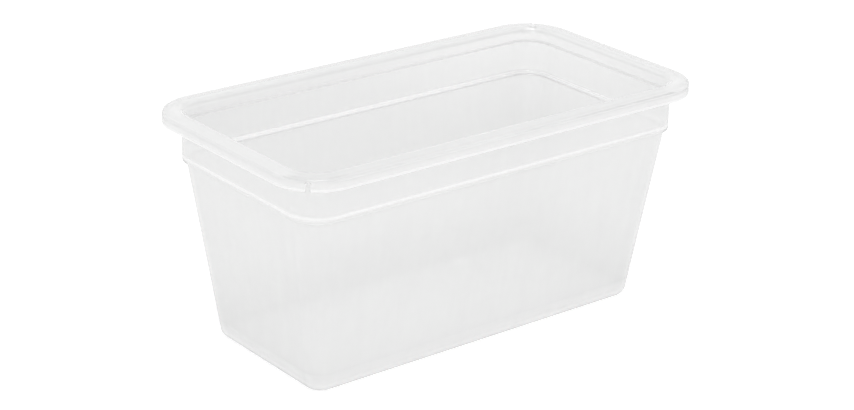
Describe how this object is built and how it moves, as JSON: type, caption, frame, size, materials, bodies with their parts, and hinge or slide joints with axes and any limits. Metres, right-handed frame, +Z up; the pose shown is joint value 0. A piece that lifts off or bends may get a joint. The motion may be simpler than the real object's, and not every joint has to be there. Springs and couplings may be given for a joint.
{
  "type": "gastronorm container",
  "caption": "Deep rectangular food pan with a hooked rim, a straight collar, a stacking shoulder and tapered walls, in translucent plastic.",
  "frame": {"origin": "centre of the underside of the base", "axes": "+X along the length, +Y along the width, +Z up, mouth at the top"},
  "size_m": [0.325, 0.176, 0.156],
  "materials": {
    "translucent_plastic": "satin, milky and translucent"
  },
  "bodies": {
    "root": {"container": "translucent_plastic"}
  },
  "joints": []
}
